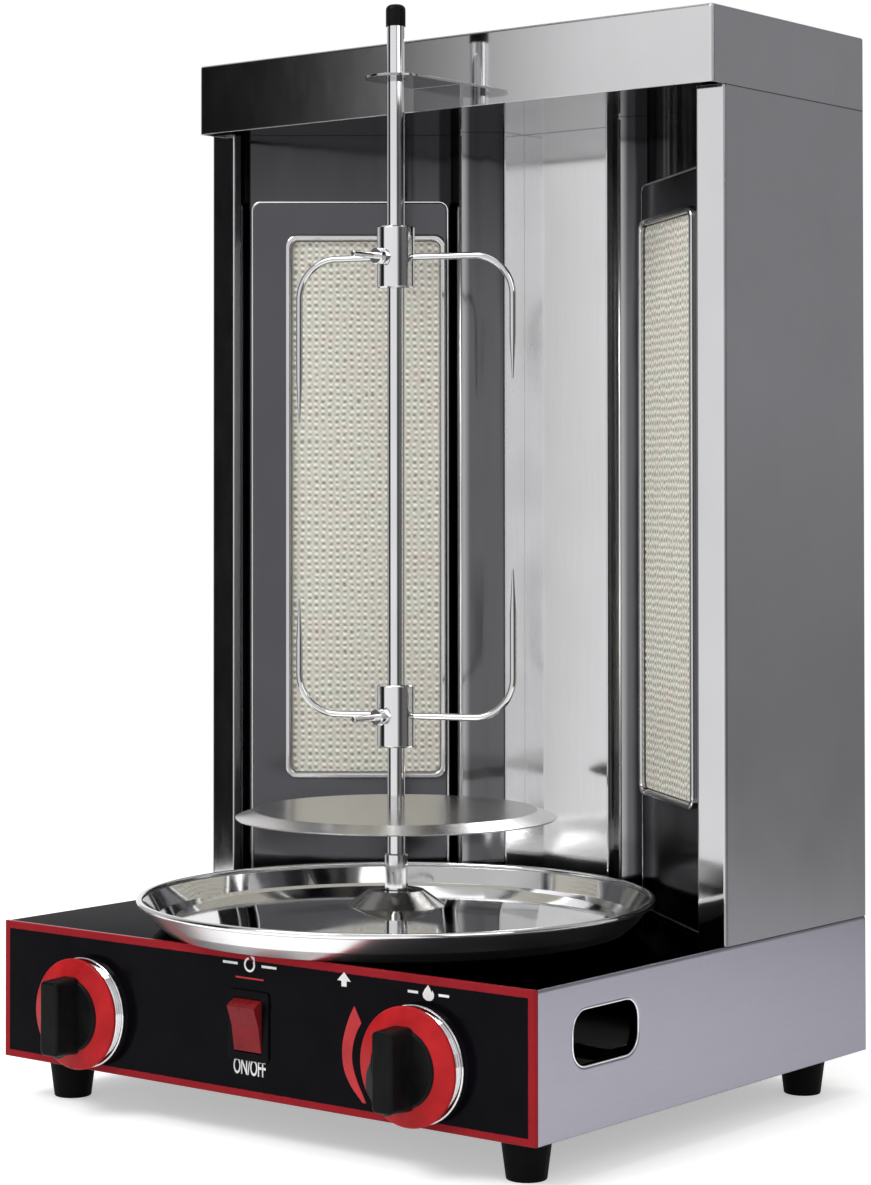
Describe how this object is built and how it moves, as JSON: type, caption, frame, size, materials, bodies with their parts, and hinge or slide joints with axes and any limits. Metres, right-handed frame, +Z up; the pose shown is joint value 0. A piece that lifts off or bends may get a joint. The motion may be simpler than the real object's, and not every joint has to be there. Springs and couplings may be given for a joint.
{
  "type": "doner kebab grill",
  "caption": "Vertical gas doner grill with a powered spit, clamped meat forks, a drip pan, perforated ceramic burners and a stainless casing with knobs and a rocker switch.",
  "frame": {"origin": "on the floor under the feet, at the centre of the box round the whole grill", "axes": "+Z up, +Y towards the back, +X to the right of someone who faces the control panel"},
  "size_m": [0.395, 0.391, 0.654],
  "materials": {
    "casing_steel": "brushed stainless sheet",
    "mirror_steel": "polished stainless sheet",
    "liner_steel": "polished stainless sheet inside the cooking chamber",
    "spit_steel": "polished stainless steel",
    "panel_black": "gloss black lacquer with a red border",
    "zinc_steel": "zinc-plated steel",
    "brass": "machined brass",
    "ceramic": "unglazed perforated burner ceramic",
    "red_plastic": "moulded semi-gloss",
    "black_plastic": "moulded semi-gloss",
    "rubber": "moulded matte",
    "motor_paint": "painted satin"
  },
  "bodies": {
    "casing": {"base_shell": "casing_steel", "control_panel": "panel_black", "bottom_plate": "zinc_steel", "rubber_feet": "rubber", "foot_screws": "zinc_steel", "tower_shell": "casing_steel", "hood": "casing_steel", "ceiling_plate": "liner_steel", "case_screws": "zinc_steel", "back_liner": "liner_steel", "right_liner": "liner_steel", "right_burner_plate": "liner_steel", "right_burner_frame": "mirror_steel", "right_ceramic": "ceramic", "right_burner_box": "liner_steel", "right_mixing_tube": "liner_steel", "left_liner": "liner_steel", "left_burner_plate": "liner_steel", "left_burner_frame": "mirror_steel", "left_ceramic": "ceramic", "left_burner_box": "liner_steel", "left_mixing_tube": "liner_steel", "gas_injectors": "brass", "left_gas_valve": "brass", "left_gas_tube": "zinc_steel", "right_gas_valve": "brass", "right_gas_tube": "zinc_steel", "gas_manifold": "zinc_steel", "gas_inlet": "brass", "left_knob_bezel": "mirror_steel", "right_knob_bezel": "mirror_steel", "switch_housing": "black_plastic", "cord_gland": "black_plastic", "gear_motor": "motor_paint", "motor_bracket": "zinc_steel", "motor_screws": "zinc_steel", "deck_bushing": "brass", "spit_bracket": "spit_steel"},
    "left_tap": {"left_valve_plug": "brass"},
    "right_tap": {"right_valve_plug": "brass"},
    "left_control": {"left_spindle": "brass", "left_knob": "black_plastic", "left_knob_skirt": "red_plastic"},
    "right_control": {"right_spindle": "brass", "right_knob": "black_plastic", "right_knob_skirt": "red_plastic"},
    "switch": {"rocker": "red_plastic"},
    "drive": {"output_shaft": "zinc_steel", "drive_socket": "spit_steel"},
    "spit": {"spit_rod": "spit_steel", "spit_cap": "black_plastic", "meat_disc": "spit_steel"},
    "upper_holder": {"upper_collar": "spit_steel", "upper_fork": "spit_steel"},
    "lower_holder": {"lower_collar": "spit_steel", "lower_fork": "spit_steel"},
    "upper_clamp": {"upper_thumb_screw": "spit_steel"},
    "lower_clamp": {"lower_thumb_screw": "spit_steel"},
    "tray": {"drip_pan": "spit_steel"}
  },
  "joints": [
    {"name": "left_tap_turn", "type": "hinge", "parent": "casing", "child": "left_tap", "pos_m": [-0.1285, -0.1645, 0.0587], "axis": [0, -1, 0], "range_deg": [0, 210]},
    {"name": "left_knob_push", "type": "slide", "parent": "left_tap", "child": "left_control", "axis": [0, 1, 0], "range_m": [0, 0.003], "stiffness_N_per_m": 1500, "springref_m": -0.002},
    {"name": "right_tap_turn", "type": "hinge", "parent": "casing", "child": "right_tap", "pos_m": [0.1205, -0.1645, 0.0587], "axis": [0, -1, 0], "range_deg": [0, 210]},
    {"name": "right_knob_push", "type": "slide", "parent": "right_tap", "child": "right_control", "axis": [0, 1, 0], "range_m": [0, 0.003], "stiffness_N_per_m": 1500, "springref_m": -0.002},
    {"name": "switch_rock", "type": "hinge", "parent": "casing", "child": "switch", "pos_m": [0, -0.1625, 0.0656], "axis": [-1, 0, 0], "range_deg": [0, 26]},
    {"name": "spit_turn", "type": "hinge", "parent": "casing", "child": "drive", "pos_m": [0, -0.0345, 0.094], "axis": [0, 0, 1], "continuous": true},
    {"name": "spit_lift", "type": "slide", "parent": "drive", "child": "spit", "axis": [0, 0, 1], "range_m": [0, 0.022]},
    {"name": "upper_fork_slide", "type": "slide", "parent": "spit", "child": "upper_holder", "axis": [0, 0, 1], "range_m": [-0.03, 0.06]},
    {"name": "upper_clamp_turn", "type": "hinge", "parent": "upper_holder", "child": "upper_clamp", "pos_m": [0, -0.0495, 0.503], "axis": [0, -1, 0], "range_deg": [0, 360]},
    {"name": "lower_fork_slide", "type": "slide", "parent": "spit", "child": "lower_holder", "axis": [0, 0, 1], "range_m": [-0.032, 0.03]},
    {"name": "lower_clamp_turn", "type": "hinge", "parent": "lower_holder", "child": "lower_clamp", "pos_m": [0, -0.0495, 0.2305], "axis": [0, -1, 0], "range_deg": [0, 360]},
    {"name": "tray_lift", "type": "slide", "parent": "casing", "child": "tray", "axis": [0, 0, 1], "range_m": [0, 0.03]}
  ]
}
